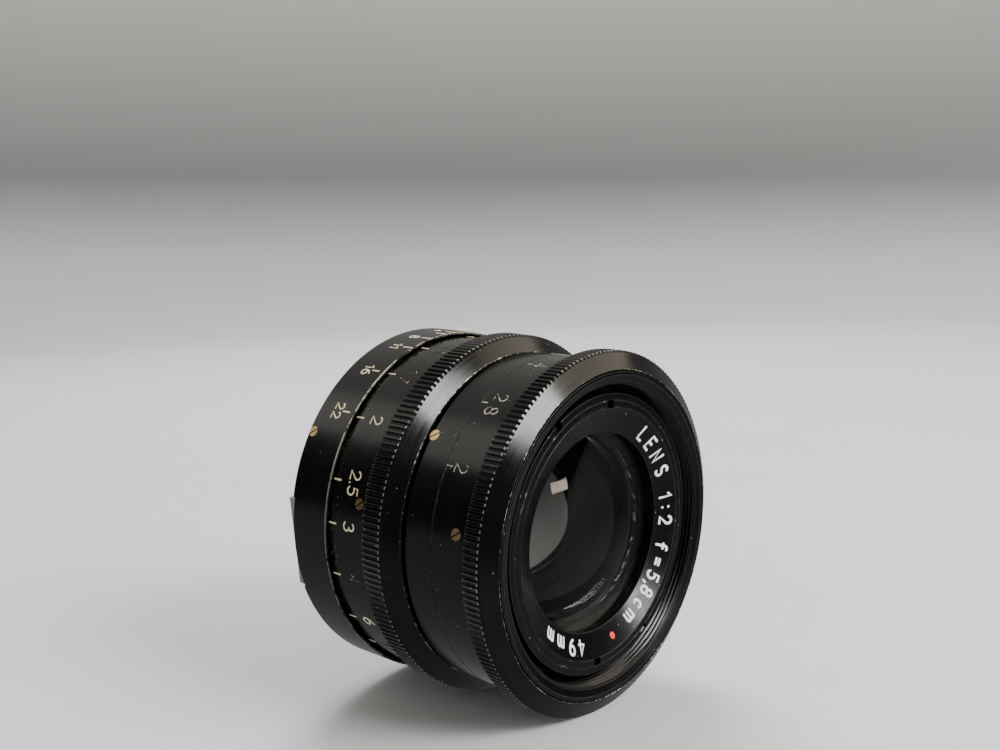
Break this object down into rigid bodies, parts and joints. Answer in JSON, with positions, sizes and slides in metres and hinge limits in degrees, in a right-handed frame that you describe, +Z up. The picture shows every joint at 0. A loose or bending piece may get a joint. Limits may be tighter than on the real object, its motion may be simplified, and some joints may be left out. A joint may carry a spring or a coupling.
{
  "type": "camera lens",
  "caption": "Focusing camera lens with knurled focus and aperture rings, helicoid, iris, six glasses and a rear bayonet.",
  "frame": {"origin": "centre of the rear flange seating face, on the optical axis", "axes": "optical axis along Y with the front of the lens towards -Y; +Z up with the lens lying on its side, +X to the right seen from the front"},
  "size_m": [0.0606, 0.0485, 0.0606],
  "materials": {
    "black_enamel": "gloss black enamel on aluminium, worn bright at the edges",
    "chromed_brass": "satin chrome plate on brass",
    "nickel_screws": "worn nickel-plated brass",
    "bright_aluminium": "turned, threads greased",
    "helicoid_brass": "turned, threads greased",
    "tool_steel": "turned",
    "black_anodised": "satin black",
    "matt_black": "matt black, ribbed",
    "blued_steel": "blued spring steel",
    "coated_glass": "polished, single-layer coated"
  },
  "bodies": {
    "mount": {"bayonet_flange": "chromed_brass", "flange_screws": "nickel_screws", "catch_lug": "chromed_brass", "catch_lug_screws": "nickel_screws", "fixed_helicoid": "bright_aluminium", "guide_key": "helicoid_brass", "focus_stop_pin": "tool_steel", "dof_ring": "black_enamel", "dof_ring_screws": "nickel_screws"},
    "head": {"lens_barrel": "black_anodised", "front_barrel": "black_enamel", "front_barrel_screws": "nickel_screws", "filter_rim": "black_enamel", "front_cell": "black_enamel", "name_ring": "black_enamel", "front_retaining_ring": "black_enamel", "front_spacer": "matt_black", "front_element": "coated_glass", "second_element": "coated_glass", "third_element": "coated_glass", "iris_housing": "black_anodised", "rear_cell": "black_anodised", "rear_spacer": "matt_black", "rear_retaining_ring": "black_anodised", "fourth_element": "coated_glass", "fifth_element": "coated_glass", "rear_element": "coated_glass"},
    "focus_ring": {"focus_grip": "black_enamel", "focus_scale_barrel": "black_enamel", "focus_helicoid": "helicoid_brass", "focus_barrel_screws": "nickel_screws"},
    "aperture_ring": {"aperture_ring": "black_enamel", "aperture_ring_screws": "nickel_screws", "aperture_drive_pin": "tool_steel", "iris_control_ring": "black_anodised"},
    "blade_01": {"iris_blade_01": "blued_steel"},
    "blade_02": {"iris_blade_02": "blued_steel"},
    "blade_03": {"iris_blade_03": "blued_steel"},
    "blade_04": {"iris_blade_04": "blued_steel"},
    "blade_05": {"iris_blade_05": "blued_steel"},
    "blade_06": {"iris_blade_06": "blued_steel"},
    "blade_07": {"iris_blade_07": "blued_steel"},
    "blade_08": {"iris_blade_08": "blued_steel"},
    "blade_09": {"iris_blade_09": "blued_steel"},
    "blade_10": {"iris_blade_10": "blued_steel"}
  },
  "joints": [
    {"name": "head_slide", "type": "slide", "parent": "mount", "child": "head", "axis": [0, -1, 0], "range_m": [-0.0028, 0.0012]},
    {"name": "focus_turn", "type": "hinge", "parent": "head", "child": "focus_ring", "pos_m": [0, -0.02, 0], "axis": [0, -1, 0], "range_deg": [-165.25, 70.53]},
    {"name": "aperture_turn", "type": "hinge", "parent": "head", "child": "aperture_ring", "pos_m": [0, -0.037, 0], "axis": [0, -1, 0], "range_deg": [-72, 96]},
    {"name": "blade_01_turn", "type": "hinge", "parent": "head", "child": "blade_01", "pos_m": [0.0172, -0.0228, 0], "axis": [0, -1, 0], "range_deg": [-16.85, 22.45]},
    {"name": "blade_02_turn", "type": "hinge", "parent": "head", "child": "blade_02", "pos_m": [0.01392, -0.0228, 0.01011], "axis": [0, -1, 0], "range_deg": [-16.85, 22.45]},
    {"name": "blade_03_turn", "type": "hinge", "parent": "head", "child": "blade_03", "pos_m": [0.00532, -0.0228, 0.01636], "axis": [0, -1, 0], "range_deg": [-16.85, 22.45]},
    {"name": "blade_04_turn", "type": "hinge", "parent": "head", "child": "blade_04", "pos_m": [-0.00532, -0.0228, 0.01636], "axis": [0, -1, 0], "range_deg": [-16.85, 22.45]},
    {"name": "blade_05_turn", "type": "hinge", "parent": "head", "child": "blade_05", "pos_m": [-0.01392, -0.0228, 0.01011], "axis": [0, -1, 0], "range_deg": [-16.85, 22.45]},
    {"name": "blade_06_turn", "type": "hinge", "parent": "head", "child": "blade_06", "pos_m": [-0.0172, -0.0228, 0], "axis": [0, -1, 0], "range_deg": [-16.85, 22.45]},
    {"name": "blade_07_turn", "type": "hinge", "parent": "head", "child": "blade_07", "pos_m": [-0.01392, -0.0228, -0.01011], "axis": [0, -1, 0], "range_deg": [-16.85, 22.45]},
    {"name": "blade_08_turn", "type": "hinge", "parent": "head", "child": "blade_08", "pos_m": [-0.00532, -0.0228, -0.01636], "axis": [0, -1, 0], "range_deg": [-16.85, 22.45]},
    {"name": "blade_09_turn", "type": "hinge", "parent": "head", "child": "blade_09", "pos_m": [0.00532, -0.0228, -0.01636], "axis": [0, -1, 0], "range_deg": [-16.85, 22.45]},
    {"name": "blade_10_turn", "type": "hinge", "parent": "head", "child": "blade_10", "pos_m": [0.01392, -0.0228, -0.01011], "axis": [0, -1, 0], "range_deg": [-16.85, 22.45]}
  ],
  "couplings": [
    {"joint": "focus_turn", "follows": "head_slide", "rad_per_m": 1030},
    {"joint": "blade_01_turn", "follows": "aperture_turn", "ratio": 0.23333},
    {"joint": "blade_02_turn", "follows": "aperture_turn", "ratio": 0.23333},
    {"joint": "blade_03_turn", "follows": "aperture_turn", "ratio": 0.23333},
    {"joint": "blade_04_turn", "follows": "aperture_turn", "ratio": 0.23333},
    {"joint": "blade_05_turn", "follows": "aperture_turn", "ratio": 0.23333},
    {"joint": "blade_06_turn", "follows": "aperture_turn", "ratio": 0.23333},
    {"joint": "blade_07_turn", "follows": "aperture_turn", "ratio": 0.23333},
    {"joint": "blade_08_turn", "follows": "aperture_turn", "ratio": 0.23333},
    {"joint": "blade_09_turn", "follows": "aperture_turn", "ratio": 0.23333},
    {"joint": "blade_10_turn", "follows": "aperture_turn", "ratio": 0.23333}
  ]
}
